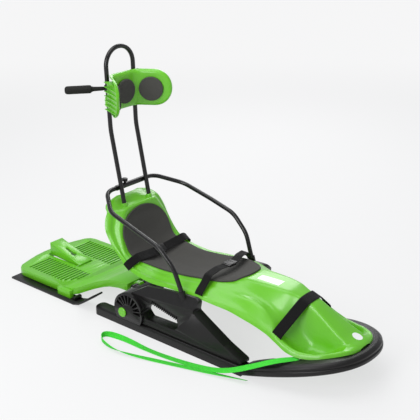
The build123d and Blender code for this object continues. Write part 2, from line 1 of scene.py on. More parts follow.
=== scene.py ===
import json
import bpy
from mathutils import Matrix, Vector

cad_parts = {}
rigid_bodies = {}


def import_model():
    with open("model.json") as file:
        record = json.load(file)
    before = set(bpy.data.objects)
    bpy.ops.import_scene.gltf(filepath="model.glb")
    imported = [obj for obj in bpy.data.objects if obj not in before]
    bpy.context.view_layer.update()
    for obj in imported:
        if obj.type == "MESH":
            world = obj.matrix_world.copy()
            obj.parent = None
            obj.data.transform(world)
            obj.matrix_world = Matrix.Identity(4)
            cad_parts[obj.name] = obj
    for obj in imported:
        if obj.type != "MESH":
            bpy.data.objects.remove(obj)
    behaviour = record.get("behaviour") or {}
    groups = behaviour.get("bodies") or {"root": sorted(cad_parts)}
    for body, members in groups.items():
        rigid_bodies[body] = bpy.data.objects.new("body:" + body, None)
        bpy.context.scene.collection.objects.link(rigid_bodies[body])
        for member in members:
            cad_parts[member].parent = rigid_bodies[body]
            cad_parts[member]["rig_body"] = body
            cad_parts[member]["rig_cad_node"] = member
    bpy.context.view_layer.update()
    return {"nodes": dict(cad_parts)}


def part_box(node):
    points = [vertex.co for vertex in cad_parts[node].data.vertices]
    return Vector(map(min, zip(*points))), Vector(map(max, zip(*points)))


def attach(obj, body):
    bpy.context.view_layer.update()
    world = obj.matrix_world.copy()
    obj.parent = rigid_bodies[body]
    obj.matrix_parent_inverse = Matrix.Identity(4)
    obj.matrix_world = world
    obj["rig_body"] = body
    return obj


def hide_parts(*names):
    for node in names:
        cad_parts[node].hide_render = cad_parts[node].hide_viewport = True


bl_info = {
    "name": "Snow sled",
    "version": (1, 0, 0),
    "blender": (4, 5, 0),
    "location": "View3D > Sidebar > Sled",
    "description": "Dresses a snow sled with seat, push hoop and hinged rear platform",
    "category": "Object",
}

from math import atan2, cos, pi, radians, sin

import bpy
import numpy as np
from mathutils import Matrix, Vector
from mathutils.bvhtree import BVHTree

bpy.ops.object.select_all(action="SELECT")
bpy.ops.object.delete()
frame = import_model()

MM = 0.001
DOWN = Vector((0, 0, -1))
nodes = frame["nodes"]
finishes = {}


# Shader values and materials

class Wire:
    """A value in a material. Sums and products of wires add Math nodes."""

    def __init__(self, finish, socket):
        self.finish, self.socket = finish, socket

    def math(self, operation, *values):
        return self.finish.node("ShaderNodeMath", {"operation": operation}, *values)

    def __add__(self, other):
        return self.math("ADD", self, other)

    def __mul__(self, other):
        return self.math("MULTIPLY", self, other)

    __radd__, __rmul__ = __add__, __mul__

    def sine(self):
        return self.math("SINE", self)

    def over(self, edge, width):
        """0 below the edge, 1 above it, over a soft width."""
        return self.finish.node("ShaderNodeMapRange", {"interpolation_type": "SMOOTHSTEP"}, self,
                                edge - width / 2, edge + width / 2, 0.0, 1.0)


class Finish:
    """One material of the sled: a Principled shader and the nodes that feed it."""

    def __init__(self, name, **constants):
        self.material = bpy.data.materials.new(name)
        self.material.use_nodes = True
        self.tree = self.material.node_tree
        self.shader = self.tree.nodes["Principled BSDF"]
        for key, value in constants.items():
            socket = key.replace("_", " ").title().replace("Ior", "IOR")
            self.shader.inputs[socket].default_value = value
        finishes[name] = self.material

    def node(self, kind, settings=None, *values, out=0, **named):
        made = self.tree.nodes.new(kind)
        for key, value in (settings or {}).items():
            setattr(made, key, value)
        for key, value in [*enumerate(values), *named.items()]:
            socket = made.inputs[key]
            if isinstance(value, Wire):
                self.tree.links.new(value.socket, socket)
            else:
                socket.default_value = value
        return Wire(self, made.outputs[out])

    def place(self, kind="Object"):
        return self.node("ShaderNodeTexCoord", out=kind)

    def axes(self, kind="Object"):
        """The first two coordinates of the place."""
        made = self.tree.nodes.new("ShaderNodeSeparateXYZ")
        self.tree.links.new(self.place(kind).socket, made.inputs[0])
        return Wire(self, made.outputs[0]), Wire(self, made.outputs[1])

    def noise(self, scale, detail, stretch=(1, 1, 1)):
        at = self.node("ShaderNodeMapping", None, Vector=self.place(), Scale=stretch)
        return self.node("ShaderNodeTexNoise", None, Vector=at, Scale=scale, Detail=detail)

    def cells(self, scale):
        return self.node("ShaderNodeTexVoronoi", None, Vector=self.place(), Scale=scale)

    def blend_colours(self, factor, low, high):
        made = self.tree.nodes.new("ShaderNodeMix")
        made.data_type = "RGBA"
        for place, value in ((0, factor), (6, low), (7, high)):
            if isinstance(value, Wire):
                self.tree.links.new(value.socket, made.inputs[place])
            else:
                made.inputs[place].default_value = value
        return Wire(self, made.outputs[2])

    def feed(self, **wires):
        for key, wire in wires.items():
            self.tree.links.new(wire.socket, self.shader.inputs[key.replace("_", " ").title()])

    def tint(self, factor, colour, low, high):
        """Feeds a base colour that varies between two shares of a colour."""
        shades = [(*[min(1, share * value) for value in colour], 1) for share in (low, high)]
        self.feed(base_color=self.blend_colours(factor, *shades))

    def bump(self, height, distance, strength):
        self.feed(normal=self.node("ShaderNodeBump", None, Strength=strength, Distance=distance,
                                   Height=height))


def linear(red, green, blue):
    """A screen colour of 0 to 255 as the linear values that shaders take."""
    def one(value):
        value /= 255
        return value / 12.92 if value <= 0.04045 else ((value + 0.055) / 1.055) ** 2.4
    return one(red), one(green), one(blue)


def make_green_plastic(colour):
    finish = Finish("green plastic", roughness=0.3, coat_weight=0.25, coat_roughness=0.12,
                    specular_ior_level=0.5)
    finish.tint(finish.noise(6, 3), colour, 0.88, 1.1)
    finish.feed(roughness=0.26 + 0.14 * finish.noise(90, 4, (1, 0.25, 1)))
    finish.bump(finish.noise(420, 2) + 0.5 * finish.noise(60, 2), 0.0002, 0.5)


def make_black_plastic(colour):
    finish = Finish("black plastic", specular_ior_level=0.32)
    finish.tint(finish.noise(12, 4), colour, 1, 1.5)
    finish.feed(roughness=0.24 + 0.14 * finish.noise(50, 3))
    finish.bump(finish.cells(900) + finish.noise(500, 3), 0.00025, 0.6)


def make_black_tube(colour):
    finish = Finish("black tube", specular_ior_level=0.4, coat_weight=0.1)
    finish.tint(finish.noise(30, 2), colour, 1, 1.6)
    finish.feed(roughness=0.22 + 0.12 * finish.noise(80, 3))
    finish.bump(finish.noise(700, 2), 0.00015, 0.5)


def make_foam(name, colour):
    finish = Finish(name, specular_ior_level=0.3)
    grain = finish.cells(750)
    cloud = finish.noise(9, 4)
    finish.tint(grain * 0.6 + cloud * 0.5, colour, 0.75, 1.15)
    finish.feed(roughness=0.72 + 0.2 * cloud)
    finish.bump(grain + finish.noise(300, 4), 0.0005, 0.8)


def make_webbing(name, colour, pitch=0.0022):
    """Woven band: its UV map is in metres, along and across."""
    finish = Finish(name, specular_ior_level=0.2, sheen_weight=0.06)
    along, across = finish.axes("UV")
    turns = 2 * pi / pitch
    warp = (across * turns + (along * turns * 0.5).sine() * 0.8).sine()
    weft = (along * turns * 1.3).sine()
    weave = warp * 0.5 + weft * 0.3 + 0.5
    finish.tint(weave, colour, 0.6, 1.3)
    finish.feed(roughness=0.8 + 0.1 * finish.noise(120, 2))
    finish.bump(weave + 0.4 * finish.noise(1500, 2), 0.0006, 0.7)


def make_bright_steel():
    finish = Finish("bright steel", metallic=1.0)
    brushed = (1, 0.05, 1)
    finish.feed(base_color=finish.blend_colours(
        finish.noise(40, 3), (0.5, 0.5, 0.52, 1), (0.7, 0.7, 0.72, 1)))
    finish.feed(roughness=0.22 + 0.15 * finish.noise(300, 3, brushed))
    finish.bump(finish.noise(900, 2, brushed), 0.0001, 0.4)


def make_label():
    """Blank label film."""
    finish = Finish("blank label", specular_ior_level=0.5)
    finish.feed(base_color=finish.blend_colours(
        finish.noise(60, 2), (0.78, 0.8, 0.78, 1), (0.88, 0.89, 0.88, 1)))
    finish.feed(roughness=0.35 + 0.1 * finish.noise(200, 2))
    finish.bump(finish.noise(150, 2), 0.0001, 0.3)


# Making and shaping pieces

def only(piece):
    bpy.ops.object.select_all(action="DESELECT")
    piece.select_set(True)
    bpy.context.view_layer.objects.active = piece


def add(name):
    """Names the primitive that was just added and gives it a plain object at the origin."""
    piece = bpy.context.object
    piece.name = piece.data.name = name
    only(piece)
    bpy.ops.object.transform_apply(location=True, rotation=True, scale=True)
    return piece


def modify(piece, kind, **settings):
    modifier = piece.modifiers.new(kind.title(), kind)
    for key, value in settings.items():
        setattr(modifier, key, value)


def bake(piece):
    only(piece)
    for modifier in list(piece.modifiers):
        bpy.ops.object.modifier_apply(modifier=modifier.name)


def edit(piece, *steps):
    """Runs edit-mode operators, each (function, settings), on the whole piece."""
    only(piece)
    bpy.ops.object.mode_set(mode="EDIT")
    bpy.ops.mesh.select_all(action="SELECT")
    for step, settings in steps:
        step(**settings)
    bpy.ops.object.mode_set(mode="OBJECT")


def tidy(piece, merge=0.00002):
    edit(piece, (bpy.ops.mesh.remove_doubles, {"threshold": merge}),
         (bpy.ops.mesh.normals_make_consistent, {"inside": False}))


def finish_piece(piece, finish, body="sled", replaced=(), slot=None, smooth=40):
    """Gives a piece its material, shading, body and slot, and the CAD nodes it stands for."""
    piece.data.materials.clear()
    piece.data.materials.append(finishes[finish])
    only(piece)
    bpy.ops.object.shade_smooth_by_angle(angle=radians(smooth))
    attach(piece, body)
    if replaced:
        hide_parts(*replaced)
    slot = slot or finish.replace(" ", "_")
    return piece


def grid(name, points):
    """A grid primitive laid on rows of points, in metres, with its UV map in metres."""
    rows, columns = points.shape[:2]
    bpy.ops.object.select_all(action="DESELECT")
    bpy.ops.mesh.primitive_grid_add(x_subdivisions=columns - 1, y_subdivisions=rows - 1, size=1)
    piece = add(name)
    mesh = piece.data
    co = np.array([v.co for v in mesh.vertices])
    column = np.rint((co[:, 0] + 0.5) * (columns - 1)).astype(int)
    row = np.rint((co[:, 1] + 0.5) * (rows - 1)).astype(int)
    mesh.vertices.foreach_set("co", points[row, column].astype(np.float32).ravel())
    along = np.zeros((rows, columns))
    along[1:] = np.cumsum(np.linalg.norm(np.diff(points, axis=0), axis=2), axis=0)
    wide = np.zeros((rows, columns))
    wide[:, 1:] = np.cumsum(np.linalg.norm(np.diff(points, axis=1), axis=2), axis=1)
    uv = mesh.uv_layers.active.data
    for loop in mesh.loops:
        i = loop.vertex_index
        uv[loop.index].uv = (along[row[i], column[i]], wide[row[i], column[i]])
    mesh.update()
    return piece


def bar(name, size, middle, bevel, segments=2):
    """A block with rounded edges."""
    bpy.ops.object.select_all(action="DESELECT")
    bpy.ops.mesh.primitive_cube_add(size=1, location=middle)
    bpy.context.object.scale = size
    piece = add(name)
    modify(piece, "BEVEL", width=bevel, segments=segments, limit_method="ANGLE")
    bake(piece)
    return piece


def disc(name, radius, depth, foot, direction, bevel, segments=3, sides=64):
    """A round block that stands on its foot and points along a direction."""
    bpy.ops.object.select_all(action="DESELECT")
    turn = Vector((0, 0, 1)).rotation_difference(Vector(direction)).to_euler()
    at = Vector(foot) + Vector(direction).normalized() * depth / 2
    bpy.ops.mesh.primitive_cylinder_add(vertices=sides, radius=radius, depth=depth, location=at,
                                        rotation=turn)
    piece = add(name)
    modify(piece, "BEVEL", width=bevel, segments=segments, limit_method="ANGLE",
           angle_limit=radians(50))
    bake(piece)
    return piece


def joined(name, pieces):
    only(pieces[0])
    for piece in pieces:
        piece.select_set(True)
    bpy.ops.object.join()
    pieces[0].name = pieces[0].data.name = name
    return pieces[0]


def sheet_solid(piece, thickness):
    """Thickens a sheet on both sides and turns its faces outward."""
    modify(piece, "SOLIDIFY", thickness=thickness, offset=0)
    bake(piece)
    edit(piece, (bpy.ops.mesh.normals_make_consistent, {"inside": False}))


def dressed(node, finish, bevel):
    """A merged copy of a rigid CAD node with rounded edges, standing for it."""
    only(nodes[node])
    bpy.ops.object.duplicate()
    piece = bpy.context.object
    piece.name = piece.data.name = node + "_dressed"
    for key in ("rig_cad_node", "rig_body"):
        if key in piece:
            del piece[key]
    piece.parent = None
    only(piece)
    bpy.ops.mesh.customdata_custom_splitnormals_clear()
    edit(piece, (bpy.ops.mesh.remove_doubles, {"threshold": 0.00001}),
         (bpy.ops.mesh.dissolve_limited, {"angle_limit": radians(1)}))
    if bevel:
        modify(piece, "BEVEL", width=bevel, segments=3, limit_method="ANGLE",
               angle_limit=radians(30), harden_normals=True)
        bake(piece)
    finish_piece(piece, finish, nodes[node]["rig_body"], (node,))


def both_sides(name):
    """A node's name, or with a star the names of its left and right ones."""
    return [name.replace("*", side) for side in ("left", "right")] if "*" in name else [name]


# Lines and surfaces of the moulded shell

# One row per section: y, z, tilt, height in the middle, then distance out and height of
# the shoulder, the low line, the pad's edge, the inner crest, the groove, the outer crest
# and the skirt's edge. Millimetres.
STATIONS = [
    (-906, 0, 0, 168,
     (8, 168), (14, 168), (19, 167), (24, 167), (28, 166), (32, 165), (36, 157)),
    (-900, 0, 0, 173,
     (18, 173), (28, 172), (37, 171), (46, 170), (52, 169), (58, 167), (63, 158)),
    (-888, 0, 0, 178,
     (32, 178), (46, 176), (58, 175), (70, 173), (77, 172), (84, 170), (90, 158)),
    (-868, 0, 0, 184,
     (44, 182), (58, 177), (74, 173), (91, 170), (99, 171), (107, 168), (113, 154)),
    (-840, 0, 0, 194,
     (56, 191), (67, 164), (93, 152), (113, 163), (122, 164), (130, 161), (136, 147)),
    (-805, 0, 0, 213,
     (54, 208), (73, 130), (117, 123), (137, 153), (146, 156), (154, 153), (160, 139)),
    (-765, 0, 0, 234,
     (49, 229), (73, 117), (130, 111), (153, 144), (162, 148), (171, 145), (177, 129)),
    (-715, 0, 0, 262,
     (42, 257), (75, 114), (142, 108), (165, 141), (175, 146), (184, 142), (191, 125)),
    (-665, 0, 0, 287,
     (37, 284), (80, 139), (140, 126), (169, 152), (180, 156), (190, 151), (197, 133)),
    (-605, 0, 0, 307,
     (43, 304), (90, 203), (131, 176), (163, 178), (176, 180), (188, 176), (194, 158)),
    (-555, 0, 0, 317,
     (54, 315), (98, 238), (124, 224), (147, 219), (168, 203), (183, 193), (189, 176)),
    (-490, 0, 0, 320,
     (60, 318), (102, 260), (120, 258), (136, 260), (163, 228), (182, 209), (188, 192)),
    (-430, 0, 0, 320,
     (63, 317), (103, 270), (120, 268), (136, 270), (163, 238), (184, 220), (190, 204)),
    (-372, 0, 0, 317,
     (64, 314), (106, 279), (122, 272), (138, 269), (165, 243), (186, 231), (192, 215)),
    (-300, 0, 0, 298,
     (68, 298), (109, 291), (131, 277), (147, 270), (173, 248), (196, 239), (202, 224)),
    (-200, 0, 0, 272,
     (69, 276), (138, 284), (151, 273), (165, 270), (190, 253), (210, 250), (216, 236)),
    (-50, 0, 0, 240,
     (69, 248), (138, 263), (150, 253), (165, 255), (186, 240), (209, 243), (216, 229)),
    (60, 0, 0, 228,
     (70, 237), (136, 256), (148, 244), (161, 244), (181, 230), (202, 234), (211, 219)),
    (130, 228, 12, 0,
     (70, 10), (143, 33), (154, 24), (166, 26), (184, 10), (198, 12), (206, -4)),
    (205, 242, 35, 0,
     (70, 6), (148, 29), (158, 24), (168, 26), (182, 12), (192, 16), (199, 0)),
    (250, 275, 58, 0,
     (70, 4), (148, 16), (158, 14), (167, 18), (178, 6), (186, 12), (192, -4)),
    (280, 330, 72, 0,
     (70, 3), (143, 14), (152, 14), (161, 16), (174, -4), (188, -6), (196, -20)),
    (294, 385, 78, 0,
     (60, 1), (123, 5), (135, 9), (149, 8), (166, -20), (185, -22), (197, -38)),
    (303, 430, 80, 0,
     (50, 1), (90, 4), (106, 9), (124, 8), (146, -24), (170, -26), (185, -44)),
    (308, 462, 80, 5,
     (40, 6), (62, 8), (84, 8), (104, 3), (132, -30), (152, -32), (165, -46)),
    (329, 477, 80, 0,
     (30, 0), (50, 1), (66, 0), (84, -8), (110, -30), (138, -33), (152, -46)),
    (352, 490, 80, 0,
     (24, 0), (44, -2), (62, -8), (80, -14), (98, -26), (112, -28), (122, -38)),
    (376, 502, 80, 0,
     (12, 0), (22, -1), (32, -2), (42, -4), (52, -6), (60, -8), (67, -12)),
]
SEGMENT_COLUMNS = (10, 11, 4, 4, 6, 5, 4)


def eased(values, passes):
    """Values smoothed a number of times; the first and the last stay."""
    for _ in range(passes):
        values[1:-1] = values[1:-1] / 2 + (values[:-2] + values[2:]) / 4
    return values


def section_point(plane, x, height):
    """A point of a section plane (y, z, tilt), in metres."""
    y, z, tilt = plane
    turn = radians(tilt)
    return np.array((x, y - height * sin(turn), z + height * cos(turn))) * MM


def section_columns(row):
    """The points across the shell of one section."""
    half = [(0, row[3]), *row[4:]]
    line = [half[0]]
    for (x1, h1), (x2, h2), count in zip(half, half[1:], SEGMENT_COLUMNS):
        for i in range(1, count + 1):
            line.append((x1 + (x2 - x1) * i / count, h1 + (h2 - h1) * i / count))
    line = [(-x, h) for x, h in line[:0:-1]] + line
    return eased(np.array([section_point(row[:3], x, h) for x, h in line]), 4)


def steady_slopes(at, values):
    """Slopes of a curve through values that never swings past them."""
    steps = np.diff(values, axis=0) / np.diff(at).reshape(-1, *[1] * (values.ndim - 1))
    slopes = np.zeros_like(values)
    slopes[0], slopes[-1] = steps[0], steps[-1]
    a, b = steps[:-1], steps[1:]
    same = a * b > 0
    with np.errstate(divide="ignore", invalid="ignore"):
        slopes[1:-1] = np.where(same, 2 * a * b / np.where(same, a + b, 1), 0)
    return slopes


class Surface:
    """The shell's upper surface, read at any distance along it."""

    def __init__(self):
        self.rows = np.array([section_columns(row) for row in STATIONS])
        tilt = np.radians([row[2] for row in STATIONS])
        self.up = np.stack([np.zeros_like(tilt), -np.sin(tilt), np.cos(tilt)], axis=1)
        step = np.linalg.norm(np.diff(self.rows, axis=0), axis=2).mean(axis=1)
        self.at = np.concatenate([[0], np.cumsum(step)])
        self.slopes = steady_slopes(self.at, self.rows)
        self.middle = self.rows.shape[1] // 2

    def row(self, t):
        """The points across the shell, and the way up, at a distance along it."""
        i = int(np.clip(np.searchsorted(self.at, t) - 1, 0, len(self.at) - 2))
        h = self.at[i + 1] - self.at[i]
        u = (t - self.at[i]) / h
        a, b = self.rows[i], self.rows[i + 1]
        ma, mb = self.slopes[i] * h, self.slopes[i + 1] * h
        points = (2 * u**3 - 3 * u**2 + 1) * a + (u**3 - 2 * u**2 + u) * ma + (
            3 * u**2 - 2 * u**3) * b + (u**3 - u**2) * mb
        up = self.up[i] * (1 - u) + self.up[i + 1] * u
        return points, up / np.linalg.norm(up)

    def where(self, axis, value, low, high):
        """Distance along the middle line at which a coordinate reaches a value."""
        for _ in range(40):
            mid = (low + high) / 2
            if self.row(mid)[0][self.middle][axis] < value:
                low = mid
            else:
                high = mid
        return low


surface = Surface()


SHELL_ROWS, SHELL_WALL = 290, 5
SOCKET_FOOT, SOCKET_LEAN = (80, 318, 440), (0, 78, 374)
SOCKET_RADIUS, SOCKET_LONG, SOCKET_RAISED = 13.5, 40, 4


def make_shell():
    rows = np.linspace(0, surface.at[-1], SHELL_ROWS)
    points = np.array([surface.row(t)[0] for t in rows])
    shell = grid("moulded_shell", points)
    modify(shell, "SOLIDIFY", thickness=SHELL_WALL * MM, offset=-1)
    bake(shell)
    tidy(shell)
    finish_piece(shell, "green plastic", replaced=("seat_shell",), smooth=50)


def make_hoop_sockets():
    """Collars in which the hoop's legs stand."""
    sockets = []
    lean = Vector(SOCKET_LEAN).normalized()
    x, y, z = SOCKET_FOOT
    for side in (-1, 1):
        foot = Vector((side * x, y, z)) * MM + lean * SOCKET_RAISED * MM
        sockets.append(disc("socket", SOCKET_RADIUS * MM, SOCKET_LONG * MM, foot, lean, 3 * MM))
    finish_piece(joined("hoop_sockets", sockets), "green plastic")


# Pad: an oval end on the nose side of PAD_FRONT and another above PAD_SHOULDER. The stations
# between which its ends lie are numbered.
PAD_TIP, PAD_FRONT, PAD_HALF = -358, -203, 133
PAD_TOP, PAD_SHOULDER, PAD_TOP_HALF = 456, 330, 147
PAD_TIP_STATION, PAD_TOP_STATIONS, PAD_BACK_FROM = 15, (20, 25), 200
PAD_Y = (-300, -250, -200, -150, -100, -50, 0, 60, 130, 205, 280)
PAD_EDGE = (150, 140, 133, 134, 135, 134, 133, 135, 141, 146, 146)
PAD_THICK, PAD_RAISED, PAD_TRIM, PAD_ROUND = 7, 0.5, 0.2, 1.8
PAD_ROWS, PAD_COLUMNS = 110, 41


def oval(half, share):
    """Half width of an oval at a share of its length."""
    return half * max(0, 1 - share ** 2) ** 0.5


def pad_half(t):
    """Half width of the pad at a distance along the shell."""
    points, _ = surface.row(t)
    _, y, z = points[surface.middle] / MM
    half = np.interp(y, PAD_Y, PAD_EDGE)
    if y < PAD_FRONT:
        half = min(half, oval(PAD_HALF, (PAD_FRONT - y) / (PAD_FRONT - PAD_TIP)))
    if z > PAD_SHOULDER and y > PAD_BACK_FROM:
        half = min(half, oval(PAD_TOP_HALF, (z - PAD_SHOULDER) / (PAD_TOP - PAD_SHOULDER)))
    return max(half, 0.5) * MM


def make_pad():
    first = surface.where(1, PAD_TIP * MM, 0, surface.at[PAD_TIP_STATION])
    last = surface.where(2, PAD_TOP * MM, *[surface.at[i] for i in PAD_TOP_STATIONS])
    share = (1 - np.cos(np.linspace(0, pi, PAD_ROWS))) / 2
    rows = []
    for t in first + (last - first) * share:
        points, up = surface.row(t)
        half = pad_half(t)
        x = np.linspace(-half, half, PAD_COLUMNS)
        y, z = (np.interp(x, points[:, 0], points[:, k]) for k in (1, 2))
        rows.append(np.stack([x, y, z], axis=1) + up * (PAD_THICK + PAD_RAISED) * MM)
    pad = grid("foam_pad", np.array(rows))
    modify(pad, "SOLIDIFY", thickness=(PAD_THICK - PAD_TRIM) * MM, offset=-1)
    bake(pad)
    tidy(pad)
    modify(pad, "BEVEL", width=PAD_ROUND * MM, segments=3, limit_method="ANGLE",
           angle_limit=radians(50))
    bake(pad)
    finish_piece(pad, "dark foam", replaced=("seat_pad",), smooth=60)


# Nose bumper

RUNNER_OUTER, RUNNER_WIDTH, RUNNER_HEIGHT = 280, 63, 40
RUNNER_FRONT, NOSE_FRONT = -505, -950
BUMPER_RISE, BUMPER_TOP, NOSE_POWER = 112, 160, 2.35
RISE_POWER, TOP_POWER = 1.15, 0.65
BUMPER_FLANK, BUMPER_ROWS = 26, 97


def rounded(line, radius, steps=5):
    """A closed line of (x, h) points with its corners rounded."""
    made = []
    count = len(line)
    for i in range(count):
        a, b, c = (Vector(line[(i + k) % count]) for k in (-1, 0, 1))
        reach = min(radius, 0.45 * (a - b).length, 0.45 * (c - b).length)
        start, end = b + (a - b).normalized() * reach, b + (c - b).normalized() * reach
        for k in range(steps + 1):
            u = k / steps
            made.append((1 - u) ** 2 * start + 2 * u * (1 - u) * b + u * u * end)
    return made


def bumper_row(turn):
    """Section of the bumper at a turn round the nose, 0 at one runner and pi at the other.

    Each point has its distance out from the middle of the runner's width, and its height.
    The flank under the shell's rim reaches further in than the runner.
    """
    half_x = RUNNER_OUTER - RUNNER_WIDTH / 2
    length = RUNNER_FRONT - NOSE_FRONT - RUNNER_WIDTH / 2
    along, across = abs(sin(turn)) ** (2 / NOSE_POWER), abs(cos(turn)) ** (2 / NOSE_POWER)
    sign = 1 if cos(turn) >= 0 else -1
    out = Vector((sign * across ** (NOSE_POWER - 1) / half_x, -along ** (NOSE_POWER - 1) / length))
    out.normalize()
    low = BUMPER_RISE * (1 - (1 - along) ** RISE_POWER)
    top = RUNNER_HEIGHT + (BUMPER_TOP - RUNNER_HEIGHT) * along ** TOP_POWER
    half, deep = RUNNER_WIDTH / 2 - 2.5 * along, top - low
    soft, step = 1 - 0.4 * along, 4 * along
    inner = half + BUMPER_FLANK * min(1, 4 * along) * (1 - 0.5 * along)
    line = [
        (-half + 8, low), (half - 14 - 8 * along, low), (half - 5 * along, low + 6),
        (half, low + 18 * soft), (half, low + 0.50 * deep), (half - step - 2, low + 0.56 * deep),
        (half - step, low + 0.62 * deep), (half - step, top - 15 * soft), (half - 16, top),
        (-half + 10, top), (-inner, top - 6), (-inner, top - 14), (-half, low + 8)]
    at = Vector((sign * half_x * across, RUNNER_FRONT - length * along))
    return [(at.x + out.x * x, at.y + out.y * x, h) for x, h in rounded(line, 9)]


def make_bumper():
    points = np.array([bumper_row(turn) for turn in np.linspace(0, pi, BUMPER_ROWS)]) * MM
    points = np.concatenate([points, points[:, :1]], axis=1)
    bumper = grid("smooth_bumper", points)
    tidy(bumper)
    only(bumper)
    bpy.ops.object.mode_set(mode="EDIT")
    bpy.ops.mesh.select_all(action="DESELECT")
    bpy.ops.mesh.select_non_manifold()
    bpy.ops.mesh.fill_holes(sides=0)
    bpy.ops.object.mode_set(mode="OBJECT")
    tidy(bumper)
    finish_piece(bumper, "black plastic", replaced=("nose_bumper",), smooth=50)


# Belts and straps

def smooth_line(points, passes, count=90):
    """An open line resampled evenly and eased at its corners; its ends stay."""
    points = np.array(points, float)
    length = np.concatenate([[0], np.cumsum(np.linalg.norm(np.diff(points, axis=0), axis=1))])
    at = np.linspace(0, length[-1], count)
    line = np.stack([np.interp(at, length, points[:, k]) for k in range(points.shape[1])], axis=1)
    return eased(line, passes)


def webbing(name, line, sideways, width, thick, finish, replaced, columns=9):
    """A woven band along a line of points. sideways is the way across it, at all or each."""
    sideways = np.broadcast_to(np.array(sideways, float), line.shape)
    sideways = sideways / np.linalg.norm(sideways, axis=1, keepdims=True)
    across = np.linspace(-width / 2, width / 2, columns)
    points = line[:, None, :] + sideways[:, None, :] * across[None, :, None]
    band = grid(name, points)
    modify(band, "SOLIDIFY", thickness=thick, offset=0)
    bake(band)
    modify(band, "BEVEL", width=thick * 0.3, segments=2, limit_method="ANGLE",
           angle_limit=radians(50))
    bake(band)
    edit(band, (bpy.ops.mesh.normals_make_consistent, {"inside": False}))
    return finish_piece(band, finish, replaced=replaced)


def plane_line(plane, line):
    return [section_point(plane, x, h) for x, h in line]


def plane_side(plane):
    turn = radians(plane[2])
    return (0, -cos(turn), -sin(turn))


# The plane of each belt, as y, z and tilt; half its line, as distance out and height in that
# plane; and the height of its buckle
BELTS = {
    "waist": ((205, 242, 35),
              [(205.2, 2), (198.2, 26), (174, 44), (150, 54), (70, 40), (30, 36)], 37),
    "thigh": ((-222, 0, 0),
              [(209, 248), (204, 260), (188, 272), (165, 292), (145, 316), (80, 325), (30, 319)],
              320),
}
BELT_WIDTH, BELT_THICK, BELT_RAISED = 40, 2, 1.2
# The thigh belt's left half runs back to the rim beside the rail
THIGH_SKEW, THIGH_SKEW_FROM = 0.26, 30
FOOT_PLANE = (-546.5, 0, 18)
FOOT_LINE = [(180, 184), (174, 200), (44, 309), (0, 313.3)]
FOOT_WIDTH, FOOT_LOWERED = 48, 0.6
# Parts of a buckle, in metres: size, middle, bevel and segments
BUCKLE_PARTS = [
    ((0.034, 0.012, 0.044), (-0.008, 0, 0), 0.003, 3),
    ((0.016, 0.013, 0.030), (-0.006, 0, 0), 0.002, 2),
    ((0.020, 0.009, 0.040), (0.019, 0, 0), 0.003, 3),
    ((0.010, 0.007, 0.046), (-0.026, 0.001, 0), 0.0025, 2),
    ((0.018, 0.010, 0.007), (0.006, 0, -0.0205), 0.0025, 3),
    ((0.018, 0.010, 0.007), (0.006, 0, 0.0205), 0.0025, 3),
]


def make_belts():
    for name, (plane, line, height) in BELTS.items():
        for side, word in ((-1, "right"), (1, "left")):
            points = plane_line(plane, [(side * x, h + BELT_RAISED) for x, h in line])
            if (name, word) == ("thigh", "left"):
                points = [(x, y + THIGH_SKEW * max(0, x - THIGH_SKEW_FROM * MM), z)
                          for x, y, z in points]
            webbing(f"{name}_webbing_{word}", smooth_line(points, 12), plane_side(plane),
                    BELT_WIDTH * MM, BELT_THICK * MM, "black webbing", (f"{name}_belt_{word}",))
        make_buckle(name, plane, height)


def make_buckle(name, plane, height):
    """Side-release buckle: sleeve, window, tongue, slide for the belt, and two side catches."""
    made = [bar("buckle_part", *part) for part in BUCKLE_PARTS]
    buckle = joined(f"{name}_side_buckle", made)
    turn = radians(plane[2])
    seat = Matrix((
        (1, 0, 0, 0), (0, -sin(turn), -cos(turn), 0), (0, cos(turn), -sin(turn), 0), (0, 0, 0, 1)))
    at = section_point(plane, 0, height)
    buckle.data.transform(Matrix.Translation(Vector(at)) @ seat)
    edit(buckle, (bpy.ops.mesh.normals_make_consistent, {"inside": False}))
    finish_piece(buckle, "black plastic", replaced=(f"{name}_buckle",))


def make_foot_strap():
    line = FOOT_LINE + [(-x, h) for x, h in FOOT_LINE[-2::-1]]
    points = plane_line(FOOT_PLANE, [(x, h - FOOT_LOWERED) for x, h in line])
    webbing("foot_webbing", smooth_line(points, 10, 140), plane_side(FOOT_PLANE),
            FOOT_WIDTH * MM, BELT_THICK * MM, "black webbing", ("foot_strap",))


# Tow strap: the CAD's route in plan, with heights for a flat band and a start further under
# the rim. Each point has the turn of the band there, 0 flat and 90 standing on its edge.
STRAP_ROUTE = [
    (-180, -717, 119, 5), (-206, -702, 122, 15), (-263, -660, 124, 25), (-299, -565, 76, 40),
    (-318, -440, 14, 20), (-348, -295, 5, 6), (-371, -91, 3, 0), (-368, 62, 9, 30),
    (-392, 158, 14, 85), (-440, 140, 14, 90), (-468, 50, 13, 70), (-449, -50, 7, 20),
    (-405, -179, 3, 0), (-367, -311, 5, 0), (-335, -439, 8, 5), (-305, -556, 14, 30)]
STRAP_WIDTH, STRAP_THICK = 25, 1.8


def strap_line():
    """Points along the spline through the strap's route."""
    curve = bpy.data.curves.new("strap_route", "CURVE")
    curve.dimensions = "3D"
    curve.resolution_u = 14
    spline = curve.splines.new("NURBS")
    spline.points.add(len(STRAP_ROUTE) - 1)
    for point, (x, y, z, _) in zip(spline.points, STRAP_ROUTE):
        point.co = (x * MM, y * MM, z * MM, 1)
    spline.order_u = 3
    spline.use_endpoint_u = True
    route = bpy.data.objects.new("strap_route", curve)
    bpy.context.scene.collection.objects.link(route)
    bpy.context.view_layer.update()
    drawn = bpy.data.meshes.new_from_object(route)
    line = np.array([v.co for v in drawn.vertices])
    bpy.data.meshes.remove(drawn)
    bpy.data.objects.remove(route)
    return line


